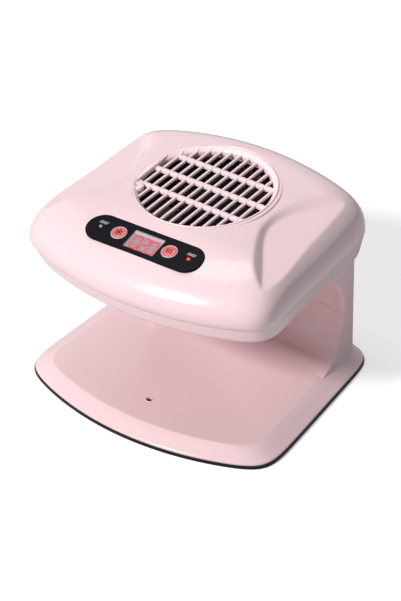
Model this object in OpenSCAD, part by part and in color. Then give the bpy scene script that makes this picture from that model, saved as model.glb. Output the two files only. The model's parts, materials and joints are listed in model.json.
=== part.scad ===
// Table-top warm and cool air blower for drying nails, in millimetres.
// +X is right, -Y is the front and +Z is up. The origin is on the table, under the middle.

/* [Base] */
// Width of the base, halfway back
base_w = 242; // [225:1:260]
// From the middle to the front edge of the base
base_front = 110.5; // [106:0.5:118]
// From the middle to the rear edge of the base
base_back = 105; // [102:0.5:110]
// Radius of the bowed front edge of the base
base_front_r = 262; // [220:1:400]
// Radius of the bowed rear edge of the base
base_back_r = 375; // [300:1:600]
// Height of the flat tray over the table
tray_h = 13.5; // [12.5:0.5:18]
// Width of the sloping border beside the tray
border_w = 18; // [15:1:22]
// Thickness of the bottom plate
plate_t = 2.4; // [2:0.1:3]
// How far the foot pads stand out of the bottom plate
foot_gap = 0.6; // [0.4:0.1:1]
// Diameter of a foot pad
foot_d = 14; // [10:1:18]

/* [Column] */
// Width of the column
column_w = 207; // [190:1:212]
// Rear of the column at the table, on the middle line
column_back = 103; // [100:0.5:106]
// Thickness of the column at its waist
column_t = 17; // [15:0.5:20]
// Lean of the column's rear wall, in degrees
column_lean = 4.3; // [2:0.1:5]
// Radius of the column's bow in plan
column_bow_r = 380; // [280:5:600]
// Reach of the cove at the foot of the column
foot_cove = 26; // [18:1:32]
// Reach of the cove under the head
head_cove = 41; // [30:1:48]

/* [Head] */
// Free height for the hands between tray and head
hand_gap = 101.5; // [85:0.5:120]
// Width of the head, halfway back
head_w = 231; // [225:1:245]
// From the middle to the front of the head
head_front = 107.8; // [104:0.2:112]
// From the middle to the rear of the head
head_back = 110.5; // [108:0.5:116]
// Radius of the head's bowed front
head_front_r = 260; // [200:1:400]
// Radius of the head's bowed rear
head_back_r = 300; // [200:1:400]
// Height of the lower cover, from its underside to the parting line
lower_cover_h = 15; // [12:0.5:18]
// Height from the parting line to the widest line of the head
belly_h = 15; // [12:0.5:18]
// Height from the underside of the head to its top, in the middle
head_h = 62.8; // [60:0.1:70]
// Width of the rolled edge along the sides of the head's top
side_roll = 30; // [26:0.5:34]
// Width of the rolled edge at the front of the head's top
front_roll = 37; // [30:0.5:40]
// Width of the rolled edge at the rear of the head's top
back_roll = 39; // [32:0.5:42]
// Slope of the top, in degrees
head_tilt = 3.64; // [2:0.02:5]
// Radius of the crown across the top
crown_r = 770; // [500:10:1500]
// Wall thickness of the covers
wall = 2.6; // [2.2:0.1:3]

/* [Scallops] */
// From the grille's edge to the inner edge of a scallop's floor
scallop_gap = 9.2; // [7:0.2:15]
// Where the scallop is deepest, from the middle towards the rear
scallop_y = 18.6; // [10:0.2:26]
// Radius of the front arc of the floor
scallop_front_r = 94.5; // [80:0.5:110]
// Radius of the rear arc of the floor
scallop_back_r = 45.5; // [38:0.5:52]
// Fall of the floor towards the side, in degrees
scallop_fall = 6.2; // [5:0.1:7]
// Run of the soft step for each millimetre of its height
step_run = 1.1; // [0.8:0.1:1.4]

/* [Control panel] */
// Slope of the panel, in degrees
panel_tilt = 12.9; // [11:0.1:15]
// Length of the dark panel
panel_l = 107.8; // [100:0.2:114]
// Width of the dark panel
panel_w = 27.7; // [26:0.1:30]
// From the grille's front edge to the middle of the panel
panel_gap = 25.5; // [23:0.1:28]
// Thickness of the panel plate
fascia_t = 2; // [1.6:0.1:2.4]
// Depth of the hollow that the panel lies in
recess_depth = 1.6; // [1.2:0.1:2.2]
// From the middle to each button
button_x = 24; // [22.5:0.1:26]
// Diameter of a button
button_d = 11.6; // [10:0.1:12]
// Travel of a button
button_travel = 0.5; // [0.3:0.05:0.6]
// From the middle to each indicator lamp
lamp_x = 41.7; // [40:0.1:43]
// Diameter of an indicator lamp
lamp_d = 3; // [2.5:0.1:3.4]
// Length of the display window
window_l = 28.6; // [26:0.1:30]
// Width of the display window
window_w = 19.5; // [17:0.1:21]

/* [Fan and grille] */
// Side of the square fan
fan_size = 120; // [116:1:122]
// Thickness of the fan
fan_t = 25; // [20:0.5:27]
// Distance between the fan's screw holes
fan_pitch = 105; // [100:0.5:107]
// Middle of the fan, behind the middle of the body
fan_y = 12.3; // [10:0.1:14]
// Number of fan blades
blades = 7; // [5:1:9]
// Diameter of the fan's hub
hub_d = 41; // [36:1:46]
// Diameter of the fan's shaft
shaft_d = 3; // [2.5:0.1:4]
// Diameter of the intake grille
grille_d = 118; // [114:0.5:120]
// Distance from one slat to the next
slat_pitch = 8.5; // [7:0.1:10]
// Width of a slat
slat_w = 2.2; // [1.6:0.1:3]
// Distance from the middle to the outer cross ribs
rib_y = 24; // [18:0.5:30]
// Width of a cross rib
rib_w = 4; // [3:0.1:5]
// Height of the slats' tops below the grille's rim
slat_sink = 2.7; // [1:0.1:3.5]
// From the grille's left edge to its screw
screw_in = 11; // [10:0.5:14]

/* [Heater] */
// Diameter of the warm-air outlet
outlet_d = 80; // [70:1:84]
// Height of the heater frame
heater_h = 16; // [12:0.5:18]
// Number of heater coils
coils = 3; // [2:1:4]

/* [Inlet and sensor] */
// Height of the mains inlet over the table
inlet_z = 31; // [29:0.5:36]
// Distance between the inlet's two pins
pin_pitch = 8.6; // [8:0.1:9]
// Diameter of an inlet pin
pin_d = 2.4; // [2.2:0.1:2.6]
// Middle of the hand sensor, in front of the middle of the body
sensor_y = 70.8; // [60:0.2:80]
// Diameter of the sensor hole in the tray
sensor_d = 4.6; // [4:0.1:6]

/* [Hidden] */
$fn = 64;

// Fits
slack = 0.25;           // around a part that drops into a pocket
shaft_fit = 0.03;       // around a running shaft
screw_fit = 0.05;       // around a screw's shank in its hole
eps = 0.5;              // how far a cutter runs past a face

// Outlines
ring_n = 80;            // points round an outline
corner_focus = 0.5;     // how much the points gather at the corners
corner_p = 16;          // sharpness of the corners
base_taper = 0.038;     // narrowing of the base towards the rear
head_taper = 0.024;     // narrowing of the head towards the rear
base_form = [base_w / 2, base_front, base_back, base_front_r, base_back_r, base_taper];
head_form = [head_w / 2, head_front, head_back, head_front_r, head_back_r, head_taper];

// Heights
plate_top = foot_gap + plate_t;
head_z = tray_h + hand_gap;
part_z = head_z + lower_cover_h;
widest_z = part_z + belly_h;
top_z = head_z + head_h;
seam_z = tray_h + 0.465 * hand_gap;
break_y = fan_y - grille_d / 2;            // where the top turns down to the panel
panel_y = panel_gap - break_y;          // middle of the panel, towards the front
scallop_x = grille_d / 2 + scallop_gap;
crown_rise = 0.8;                       // the crown over the grille's rim
crown_soft = 3;                         // softness of that turn
front_flat = 0.55;                      // share of the crown that is left at the panel
flat_run = 100;                         // length over which the crown flattens
roll_w = [side_roll, front_roll, back_roll];
lip_h = 3;                              // height of the lower cover's lip
lip_t = 1.2;

// Screws: M3 size, self-tapping in bosses
screw_r = 1.4;
head_r = 2.8;
head_t = 1.8;
boss_r = 3.6;

// ---------------------------------------------------------------- outlines and skins

// Angle of outline point i, with the points gathered at the corners
function ray(i) = let (a = 360 * i / ring_n) a + corner_focus * 45 / PI * sin(4 * a);

// Distance from the middle to the tapered side and to the bowed front or rear
function side_reach(t, w, taper) = w / (abs(cos(t)) + taper * sin(t));
function bow_reach(t, y, r) =
    let (c = r - y, s = abs(sin(t))) sqrt(r * r - c * c * (1 - s * s)) - s * c;

// Distance from the middle to an outline that lies inside a form.
// Insets are one number, or three: at the side, at the front and at the rear.
function reach(t, form, inset) =
    let (
        d = is_list(inset) ? inset : [inset, inset, inset],
        bow = sin(t) < 0 ? [form[1] - d[1], form[3] - d[1]] : [form[2] - d[2], form[4] - d[2]],
        a = side_reach(t, form[0] - d[0], form[5]),
        b = bow_reach(t, bow[0], bow[1])
    )
    pow(pow(a, -corner_p) + pow(b, -corner_p), -1 / corner_p);

function outline(form, inset, share = 1) =
    [for (i = [0:ring_n - 1]) let (t = ray(i)) share * reach(t, form, inset) * [cos(t), sin(t)]];
function ring(form, inset, z) = [for (p = outline(form, inset)) [p.x, p.y, z]];
function more(insets, d) = [for (v = insets) v + d];

// Closed skin over a stack of rings, with flat ends or, with an apex, a domed top
module skin(rings, apex = undef) {
    n = len(rings[0]);
    last = len(rings) - 1;
    domed = !is_undef(apex);
    points = [for (r = rings) each r, if (domed) apex];
    sides = [
        for (j = [0:last - 1], i = [0:n - 1])
        let (a = j * n + i, b = j * n + (i + 1) % n, c = a + n, d = b + n)
        each [[a, c, d], [a, d, b]]
    ];
    top = domed
        ? [for (i = [0:n - 1]) [last * n + i, (last + 1) * n, last * n + (i + 1) % n]]
        : [[for (i = [n - 1:-1:0]) last * n + i]];
    polyhedron(points, concat([[for (i = [0:n - 1]) i]], sides, top), convexity = 10);
}

// ---------------------------------------------------------------- the head's top

function grille_plane(y) = top_z + tan(head_tilt) * y;
function panel_plane(y) = grille_plane(break_y) + tan(panel_tilt) * (y - break_y);
function soft_min(a, b, soft) = (a + b - sqrt((a - b) * (a - b) + soft * soft)) / 2;
function crown(x, y) =
    soft_min(grille_plane(y) + crown_rise, panel_plane(y) + recess_depth, crown_soft)
    - x * x / (2 * crown_r) * max(front_flat, min(1, 1 + y / flat_run));

// The lower cover's profile: share of its height, then the insets at side, front and rear
belly = [
    [0, 9.4, 16.7, 9.4], [0.033, 5.9, 12.3, 6.2], [0.13, 3.7, 10.1, 3.9], [0.3, 2.7, 8.4, 3.1],
    [0.6, 1.9, 6.6, 2.3], [1, 1.2, 4.4, 1.6]
];
function insets(k) = [k[1], k[2], k[3]];
part_inset = insets(belly[5]);

// A ring on the rolled edge, at a roll angle from 0 at the widest line to 90 at the top
function roll_ring(inset, roll, share = 1) = [
    for (p = outline(head_form, [for (w = roll_w) inset + (w - inset) * (1 - cos(roll))], share))
    [p.x, p.y, widest_z + (crown(p.x, p.y) - inset - widest_z) * sin(roll)]
];

// The head's top form, shrunk by inset, from the height z_low up
module top_form(inset, z_low, rolls, shares) {
    skin(
        concat(
            [for (z = [z_low, part_z]) ring(head_form, more(part_inset, inset), z)],
            [ring(head_form, more(part_inset / 3, inset), (part_z + widest_z) / 2)],
            [for (a = rolls) roll_ring(inset, a)],
            [for (s = shares) roll_ring(inset, 90, s)]
        ),
        [0, 0, crown(0, 0) - inset]
    );
}

// Frames that parts are drawn in: each has its face at z = 0
module grille_frame() translate([0, fan_y, grille_plane(fan_y)]) rotate([head_tilt, 0, 0]) children();
module panel_frame() translate([0, -panel_y, panel_plane(-panel_y)]) rotate([panel_tilt, 0, 0]) children();
module both_sides() { children(); mirror([1, 0, 0]) children(); }

// D-shaped scallop: grow widens it, and it reaches from low to high over its floor
module scallop(grow, low, high) {
    back_x = scallop_x + scallop_back_r;
    front_x = scallop_x + scallop_front_r;
    run = (high - low) * step_run;
    big = 2 * (scallop_front_r + run + grow);
    both_sides()
    translate([0, 0, top_z - 0.4])
    rotate([head_tilt, scallop_fall, 0])
    translate([0, scallop_y, low]) {
        intersection() {
            translate([front_x, 0, 0])
            cylinder(h = high - low, r1 = scallop_front_r + grow, r2 = scallop_front_r + grow + run);
            translate([0, -big, -eps]) cube([big, big, high - low + 2 * eps]);
        }
        intersection() {
            translate([back_x, 0, 0])
            cylinder(h = high - low, r1 = scallop_back_r + grow, r2 = scallop_back_r + grow + run);
            translate([0, 0, -eps]) cube([big, big, high - low + 2 * eps]);
        }
    }
}

// Hollow round the panel: a trapezium with round corners and soft walls, open at the front
hollow_r = 11;
hollow_back = [51, 13.5];
hollow_front = [103, -42];
module panel_hollow(grow, low, high) {
    panel_frame()
    hull() both_sides() for (c = [hollow_back, hollow_front])
        translate([c.x, c.y, low])
        cylinder(h = high - low, r1 = hollow_r + grow, r2 = hollow_r + grow + high - low, $fn = 32);
}

module stadium(l, w, z, h) {
    translate([-(l - w) / 2, -w / 2, z]) cube([l - w, w, h]);
    for (x = [-1, 1]) translate([x * (l - w) / 2, 0, z]) cylinder(h = h, d = w);
}

module slab(size, z, h) { translate([-size.x / 2, -size.y / 2, z]) cube([size.x, size.y, h]); }
module tube(h, r_out, r_in) {
    difference() {
        cylinder(h = h, r = r_out);
        translate([0, 0, -eps]) cylinder(h = h + 2 * eps, r = r_in);
    }
}

// Screw with a domed pan head: head down at z = 0, shank up
module screw(l) {
    cylinder(h = l, r = screw_r);
    intersection() {
        translate([0, 0, -head_t]) cylinder(h = head_t, r = head_r);
        translate([0, 0, -head_t + 2 * head_r]) sphere(r = 2 * head_r);
    }
}

// ---------------------------------------------------------------- column

column_corner = [3, 7];                         // radius of the front and the rear edges
waist_y = column_back - tan(column_lean) * seam_z - column_t;
cove_power = [2, 2.6];                          // fullness of the lower and the upper cove

function column_front(z) = z < seam_z
    ? waist_y - foot_cove * pow((seam_z - z) / (seam_z - tray_h), cove_power[0])
    : waist_y - head_cove * pow((z - seam_z) / (head_z - seam_z), cove_power[1]);
function column_rear(z) = column_back - tan(column_lean) * z;
function arc(c, r, a0, n) = [for (i = [0:n]) c + r * [cos(a0 + 90 * i / n), sin(a0 + 90 * i / n)]];

// Plan of the column at one height: a bar with round corners, bent to the bow
function column_ring(z, inset) =
    let (
        h = column_w / 2 - inset, f = column_front(z) + inset, b = column_rear(z) - inset,
        rf = max(0.8, column_corner[0] - inset), rb = max(0.8, column_corner[1] - inset), n = 10,
        flat = concat(
            [for (i = [0:n - 1]) [(h - rf) * (2 * i / n - 1), f]],
            arc([h - rf, f + rf], rf, -90, 3),
            arc([h - rb, b - rb], rb, 0, 4),
            [for (i = [1:n - 1]) [(h - rb) * (1 - 2 * i / n), b]],
            arc([rb - h, b - rb], rb, 90, 4),
            [for (q = arc([rf - h, f + rf], rf, 180, 3)) if (q.x < rf - h - 0.01) q]
        )
    )
    [for (p = flat) [p.x, p.y - p.x * p.x / (2 * column_bow_r), z]];

function steps(from, to, n) = [for (i = [0:n]) from + (to - from) * i / n];
module column(inset, zs, apex = undef) { skin([for (z = zs) column_ring(z, inset)], apex); }

column_screw_x = 60;
function bow(x) = -x * x / (2 * column_bow_r);
column_screw_y = (column_front(seam_z) + column_rear(seam_z)) / 2 + bow(column_screw_x);
module at_column_screws() { both_sides() translate([column_screw_x, column_screw_y, 0]) children(); }
// Screw bosses inside the column, each on a rib that joins the front wall to the rear wall
module column_bosses(h) {
    at_column_screws() {
        cylinder(h = h, r = boss_r);
        slab([2.2, 2 * column_t], 0, h);
    }
}

// ---------------------------------------------------------------- base

base_boss = [[98, -62], [106, 38]];
base_screw_l = 6;
module at_base_bosses() { both_sides() for (p = base_boss) translate([p.x, p.y, 0]) children(); }
module at_feet() { both_sides() for (p = [[90, -72], [92, 76]]) translate([p.x, p.y, 0]) children(); }

rim_ledge = 1;                                  // the bottom plate stands out past the shell
rim_front = 0.8;                                // share of the border's width at the front
function rim_ring(inset, z) = ring(base_form, [inset, rim_front * inset, inset], z);
module base_form_solid() {
    skin([
        rim_ring(rim_ledge, plate_top),
        rim_ring(rim_ledge + 0.6, plate_top + 0.9),
        rim_ring(rim_ledge + 2, plate_top + 2),
        rim_ring(0.62 * border_w, tray_h - 2.4),
        rim_ring(border_w - 3, tray_h - 0.5),
        rim_ring(border_w, tray_h)
    ]);
}
module base_room() {
    skin([
        rim_ring(rim_ledge + 1.2 * wall, plate_top - eps),
        rim_ring(rim_ledge + 1.5 + 1.2 * wall, plate_top + 1),
        rim_ring(0.62 * border_w + 1, tray_h - 2.4 - wall),
        rim_ring(border_w, tray_h - wall)
    ]);
}

sensor_peg_x = 9;
module base_shell() {
    color([0.93, 0.8, 0.82])
    difference() {
        union() {
            base_form_solid();
            column(0, concat([plate_top + 1, tray_h - 1.5], steps(tray_h + 2, seam_z, 6)));
        }
        difference() {
            union() {
                base_room();
                column(wall, concat([plate_top + 2], steps(tray_h + 3, seam_z + eps, 4)));
            }
            at_base_bosses() cylinder(h = tray_h, r = boss_r);
            translate([0, 0, seam_z - 8]) column_bosses(8 + 2 * eps);
            translate([0, -sensor_y, tray_h - 6]) cylinder(h = 6, r = sensor_d / 2 + 1.6);
            for (x = [-1, 1]) translate([x * sensor_peg_x, -sensor_y, board_top]) cylinder(h = 6, r = 2);
        }
        at_base_bosses() translate([0, 0, -eps])
            cylinder(h = foot_gap + head_t + base_screw_l + 2 * eps, r = screw_r + screw_fit);
        at_column_screws() translate([0, 0, seam_z - 8 - eps])
            cylinder(h = 9 + eps, r = screw_r + 2 * screw_fit);
        translate([0, -sensor_y, board_top]) cylinder(h = tray_h, d = sensor_d);
        translate([0, -sensor_y, 0]) cylinder(h = board_top, r = sensor_d / 2 + 1.6 + eps);
        inlet_hole();
    }
}

module bottom_plate() {
    color([0.08, 0.08, 0.09])
    difference() {
        translate([0, 0, foot_gap]) linear_extrude(plate_t) polygon(outline(base_form, 0));
        at_feet() translate([0, 0, -eps]) cylinder(h = 1 + eps, d = foot_d + 2 * slack);
        at_base_bosses() translate([0, 0, -eps]) cylinder(h = 20, r = screw_r + 2 * screw_fit);
        at_base_bosses() translate([0, 0, -eps]) cylinder(h = foot_gap + head_t + eps, r = head_r + slack);
    }
}

module foot_pads() {
    color([0.16, 0.16, 0.17])
    at_feet() {
        translate([0, 0, 0.4]) cylinder(h = 0.6, d = foot_d);
        cylinder(h = 0.4, d1 = foot_d - 0.8, d2 = foot_d);
    }
}

module base_screws() {
    color([0.6, 0.61, 0.63])
    at_base_bosses() translate([0, 0, foot_gap + head_t]) screw(base_screw_l);
}

board_top = tray_h - 5.8;                       // top of the sensor board
module sensor_lens() {
    color([0.1, 0.08, 0.1])
    translate([0, -sensor_y, board_top]) {
        cylinder(h = 4, r = sensor_d / 2 - slack);
        translate([0, 0, 4]) intersection() {
            sphere(r = sensor_d / 2 - slack);
            cylinder(h = 3, r = sensor_d / 2 - slack);
        }
    }
}

module sensor_board() {
    color([0.1, 0.35, 0.2])
    translate([0, -sensor_y, 0]) slab([26, 12], board_top - 1.2, 1.2);
}

// ---------------------------------------------------------------- mains inlet

inlet_size = [25, 17, 16];                      // body behind the wall: X, Z and depth
flange_size = [29, 21, 1.4];                    // flange round the socket
flange_back = 0.2;                              // where the flange ends, from the inlet's face
inlet_y = column_rear(inlet_z);
socket_w = 8;
socket_depth = 10;
module inlet_frame() translate([0, inlet_y + 0.6, inlet_z]) rotate([90, 0, 0]) children();
module inlet_hole() {
    inlet_frame() {
        slab([inlet_size.x + 2 * slack, inlet_size.y + 2 * slack], -4 * eps, 8);
        slab([flange_size.x + 2 * slack, flange_size.y + 2 * slack], -4 * eps, 4 * eps + flange_back + 0.05);
    }
}
module mains_inlet() {
    color([0.07, 0.07, 0.08])
    inlet_frame() difference() {
        union() {
            slab([inlet_size.x, inlet_size.y], 0, inlet_size.z);
            slab(flange_size, flange_back - flange_size.z, flange_size.z);
        }
        stadium(pin_pitch + socket_w, socket_w, -2 * eps - 1.2, socket_depth + 1.2 + 2 * eps);
        for (x = [-1, 1]) translate([x * pin_pitch / 2, 0, 0]) cylinder(h = 40, r = pin_d / 2 + screw_fit);
    }
}
module inlet_pins() {
    color([0.8, 0.8, 0.82])
    inlet_frame() for (x = [-1, 1]) translate([x * pin_pitch / 2, 0, 1.2]) {
        translate([0, 0, pin_d / 2]) cylinder(h = inlet_size.z + 2, d = pin_d);
        translate([0, 0, pin_d / 2]) sphere(d = pin_d);
    }
}

// ---------------------------------------------------------------- head, lower cover

head_boss = [[97, -60], [93, 58]];
module at_head_bosses() { both_sides() for (p = head_boss) translate([p.x, p.y, 0]) children(); }

floor_top = head_z + wall;
lip_inset = more(part_inset, wall + 0.2);
heater_y = 0;
module head_lower_form() {
    skin([
        for (k = belly) ring(head_form, insets(k), head_z + k[0] * lower_cover_h),
        ring(head_form, lip_inset, part_z),
        ring(head_form, lip_inset, part_z + lip_h)
    ]);
}
module head_lower_room() {
    skin([
        ring(head_form, more(insets(belly[1]), wall + 1.5), floor_top),
        ring(head_form, more(insets(belly[3]), wall + 0.8), floor_top + 2),
        ring(head_form, more(lip_inset, lip_t), floor_top + 5),
        ring(head_form, more(lip_inset, lip_t), part_z + lip_h + eps)
    ]);
}

ear_x = outlet_d / 2 + 10;                      // heater frame's screw ears
cable_y = [70, 88];                             // cable way from the column into the head
room_top = head_z - wall;
module head_lower_cover() {
    color([0.93, 0.8, 0.82])
    difference() {
        union() {
            head_lower_form();
            column(0, concat(steps(seam_z, head_z - 4, 6), [head_z + wall / 2]));
        }
        difference() {
            head_lower_room();
            at_head_bosses() translate([0, 0, head_z]) cylinder(h = lower_cover_h, r = boss_r + 1);
            both_sides() translate([ear_x, heater_y, head_z]) cylinder(h = wall + heater_h / 2, r = boss_r);
            at_power_posts() cylinder(h = power_post_h + wall, r = 2.5);
        }
        difference() {
            column(
                wall, concat([seam_z - eps], steps(seam_z + 10, room_top - 1, 4)), [0, cable_y[0], room_top]
            );
            translate([0, 0, seam_z - 2 * eps]) column_bosses(12);
        }
        at_column_screws() translate([0, 0, seam_z - eps]) cylinder(h = 10, r = screw_r + screw_fit);
        translate([0, heater_y, head_z - eps]) cylinder(h = 2 * wall, d = outlet_d);
        translate([-20, cable_y[0], head_z - 3 * wall]) cube([40, cable_y[1] - cable_y[0], 6 * wall]);
        at_head_bosses() translate([0, 0, head_z - eps]) cylinder(h = 40, r = screw_r + 2 * screw_fit);
        at_head_bosses() translate([0, 0, head_z - eps]) cylinder(h = 5 + eps, r = head_r + slack);
        both_sides() translate([ear_x, heater_y, floor_top]) cylinder(h = 20, r = screw_r + screw_fit);
    }
}

module column_screws() {
    color([0.6, 0.61, 0.63])
    at_column_screws() translate([0, 0, seam_z - 8]) screw(15);
}
module head_screws() {
    color([0.6, 0.61, 0.63])
    at_head_bosses() translate([0, 0, head_z + 5]) screw(lower_cover_h + 3);
}

// ---------------------------------------------------------------- head, upper cover

grille_hole_r = grille_d / 2 + 0.35;
grille_t = 7;
ledge_t = 2;
fan_top = -12;                                  // top of the fan in the grille's frame
pocket_z = -fascia_t;
backing = 2.2;
screw_spot = [screw_in - grille_d / 2, -rib_y - 3]; // grille screw, at the end of the front rib
module at_grille_screw(z) { translate([screw_spot.x, screw_spot.y, z]) children(); }
stem_r = button_d / 2 - 1.2;

function scallop_floor(x, y) = top_z - 0.4 + tan(head_tilt) * y - tan(scallop_fall) * x;

module at_fan_holes() {
    for (x = [-1, 1], y = [-1, 1]) translate([x * fan_pitch / 2, y * fan_pitch / 2, 0]) children();
}

module head_upper_cover() {
    color([0.95, 0.83, 0.85])
    difference() {
        top_form(0, part_z, [0, 15, 30, 45, 60, 75, 90], [0.85, 0.68, 0.5]);
        difference() {
            top_form(wall, part_z - 4, [0, 25, 50, 70, 90], [0.7]);
            scallop(wall * 0.7, -wall, 8);
            panel_hollow(wall * 0.7, -wall - 0.3, 8);
            panel_frame() stadium(panel_l + 5, panel_w + 5, pocket_z - backing, 10);
            grille_frame() translate([0, 0, fan_top]) cylinder(h = 20, r = grille_hole_r + wall);
            grille_frame() at_fan_holes() translate([0, 0, fan_top]) cylinder(h = 10.6, r = 4.2);
            for (p = head_boss) both_sides()
                translate([p.x, p.y, part_z])
                cylinder(h = scallop_floor(p.x, p.y) - wall / 2 - part_z, r = boss_r);
            panel_frame() at_board_posts() translate([0, 0, control_z]) cylinder(h = -control_z, r = 2.4);
        }
        scallop(0, 0, 14);
        panel_hollow(0, -0.3, 14);
        panel_frame() {
            stadium(panel_l + 2 * slack, panel_w + 2 * slack, pocket_z, 12);
            slab([window_l - 1, window_w - 1], pocket_z - backing - eps, 10);
            for (x = [-1, 1]) {
                translate([x * button_x, 0, -20]) cylinder(h = 30, r = stem_r + 0.3);
                translate([x * lamp_x, 0, -20]) cylinder(h = 30, r = lamp_d / 2 + slack);
            }
            at_board_posts() translate([0, 0, control_z - eps]) cylinder(h = 5 + eps, r = 1.05);
        }
        grille_frame() {
            difference() {
                translate([0, 0, fan_top - eps]) cylinder(h = 30, r = grille_hole_r);
                translate([0, 0, -grille_t - ledge_t]) tube(ledge_t, grille_hole_r + 1, grille_hole_r - 3);
                at_grille_screw(-grille_t - ledge_t - 2) cylinder(h = ledge_t + 2, r = 3);
            }
            at_grille_screw(fan_top - 2) cylinder(h = 9, r = screw_r + screw_fit);
            at_fan_holes() translate([0, 0, fan_top - eps]) cylinder(h = 8 + eps, r = screw_r + screw_fit);
        }
        at_head_bosses() translate([0, 0, part_z - eps]) cylinder(h = 12, r = screw_r + screw_fit);
    }
}

// ---------------------------------------------------------------- intake grille

module intake_grille() {
    slat_top = -slat_sink;
    slats = floor((grille_d / 2 - 2) / slat_pitch + 0.5);
    blank_x = 51.5;
    blank_rise = 0.4;
    rib_drop = 0.8;
    color([0.94, 0.84, 0.86])
    grille_frame() difference() {
        union() {
            translate([0, 0, -grille_t]) tube(grille_t, grille_d / 2, grille_d / 2 - 2.4);
            intersection() {
                translate([0, 0, -grille_t]) cylinder(h = grille_t, r = grille_d / 2 - 1.2);
                union() {
                    for (i = [0:slats - 1], s = [-1, 1])
                        translate([s * (i + 0.5) * slat_pitch, 0, 0])
                        slab([slat_w, grille_d], -grille_t, grille_t + slat_top);
                    for (y = [-rib_y, 0, rib_y])
                        translate([0, y, 0])
                        slab([grille_d, rib_w], -grille_t, grille_t + slat_top - rib_drop);
                    translate([-grille_d - blank_x, -grille_d / 2, -grille_t])
                        cube([grille_d, grille_d, grille_t + slat_top + blank_rise]);
                    at_grille_screw(-grille_t) cylinder(h = grille_t + slat_top, r = 4.2);
                }
            }
        }
        at_grille_screw(-grille_t - eps) cylinder(h = 20, r = screw_r + 2 * screw_fit);
        at_grille_screw(slat_top - head_t) cylinder(h = 20, r = head_r + slack);
    }
}
module grille_screw() {
    color([0.6, 0.61, 0.63])
    grille_frame() at_grille_screw(-slat_sink - head_t) mirror([0, 0, 1]) screw(7);
}

// ---------------------------------------------------------------- fan

duct_r = fan_size / 2 - 2.2;
fan_low = fan_top - fan_t;
motor_t = 3;
tube_r = [4, 5];
stator_r = 16;
tip_gap = 1.4;
hub_top = fan_top - 3;
hub_low = fan_low + motor_t + 1.2;
cup_t = 1.6;

module fan_frame() {
    corner = 6;
    color([0.1, 0.1, 0.11])
    grille_frame() {
        difference() {
            union() {
                slab([fan_size - 2 * corner, fan_size], fan_low, fan_t);
                slab([fan_size, fan_size - 2 * corner], fan_low, fan_t);
                for (x = [-1, 1], y = [-1, 1])
                    translate([x * (fan_size / 2 - corner), y * (fan_size / 2 - corner), fan_low])
                    cylinder(h = fan_t, r = corner);
            }
            translate([0, 0, fan_low - eps]) cylinder(h = fan_t + 2 * eps, r = duct_r);
            at_fan_holes() translate([0, 0, fan_low - eps]) cylinder(h = fan_t + 2 * eps, r = 2.15);
            for (a = [0:90:270])
                rotate(a) translate([fan_size / 2, 0, fan_low + 4]) slab([10, 76], 0, fan_t - 8);
        }
        difference() {
            union() {
                translate([0, 0, fan_low]) cylinder(h = motor_t, r = hub_d / 2);
                for (a = [0:120:240])
                    rotate(a + 15) translate([hub_d / 2 - 2, -2, fan_low])
                    cube([duct_r + 3 - hub_d / 2, 4, motor_t]);
                translate([0, 0, fan_low]) cylinder(h = fan_t - 7, r = tube_r[1]);
            }
            translate([0, 0, fan_low + 1.5]) cylinder(h = fan_t, r = tube_r[0]);
        }
    }
}
module fan_stator() {
    color([0.72, 0.42, 0.2])
    grille_frame() translate([0, 0, fan_low + motor_t + 2]) difference() {
        union() {
            tube(11, 8, tube_r[1] + screw_fit);
            for (a = [0:60:300]) rotate(a) {
                translate([7, -1.6, 1]) cube([stator_r - 8.5, 3.2, 9]);
                translate([7, -3, 2]) cube([5, 6, 7]);
            }
            difference() {
                translate([0, 0, 1]) tube(9, stator_r, stator_r - 2);
                for (a = [30:60:330]) rotate(a) translate([stator_r - 4, -1, -1]) cube([6, 2, 13]);
            }
        }
        translate([0, 0, -2]) cylinder(h = 1.5, r = 30);
    }
}
module fan_bearings() {
    color([0.75, 0.6, 0.3])
    grille_frame() for (z = [fan_low + 1.5, fan_low + fan_t - 7 - 4])
        translate([0, 0, z]) tube(4, tube_r[0] - screw_fit, shaft_d / 2 + shaft_fit);
}

// One blade, lofted from root to tip: pitch falls and chord grows outwards
blade_stations = 6;
blade_root = hub_d / 2 - 1;
blade_tip = duct_r - tip_gap;
function blade_section(s) =
    let (
        r = blade_root + s * (blade_tip - blade_root), pitch = 46 - 20 * s, chord = 24 + 11 * s,
        thick = 1.9 - 0.7 * s, sweep = -10 * s,
        half = [
            for (u = [0, 0.15, 0.4, 0.7, 1])
            [u - 0.5, 4 * thick * u * (1 - u) + 0.25, 0.36 * u * (1 - u)]
        ],
        section = concat(
            [for (q = half) [q.x * chord, q.z * chord - q.y / 2]],
            [for (i = [len(half) - 1:-1:0]) [half[i].x * chord, half[i].z * chord + half[i].y / 2]]
        )
    )
    [for (p = section)
        let (
            along = p.x * cos(pitch) - p.y * sin(pitch), up = p.x * sin(pitch) + p.y * cos(pitch),
            a = sweep + along / r * 180 / PI
        )
        [r * cos(a), r * sin(a), up]];
module blade() {
    skin([for (i = [0:blade_stations]) blade_section(i / blade_stations)]);
}
module fan_rotor() {
    mid = (hub_top + hub_low) / 2;
    color([0.13, 0.13, 0.14])
    grille_frame() {
        difference() {
            translate([0, 0, hub_low]) cylinder(h = hub_top - hub_low, r = hub_d / 2);
            translate([0, 0, hub_low - 10])
            cylinder(h = hub_top - hub_low + 10 - cup_t, r = hub_d / 2 - cup_t);
        }
        for (i = [0:blades - 1]) rotate(360 * i / blades) translate([0, 0, mid]) blade();
        translate([0, 0, fan_low + 2]) cylinder(h = hub_top - fan_low - 2.5, d = shaft_d);
    }
}
module fan_screws() {
    color([0.6, 0.61, 0.63])
    grille_frame() at_fan_holes() translate([0, 0, fan_low]) screw(fan_t + 7);
}

// ---------------------------------------------------------------- heater and outlet

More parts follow.
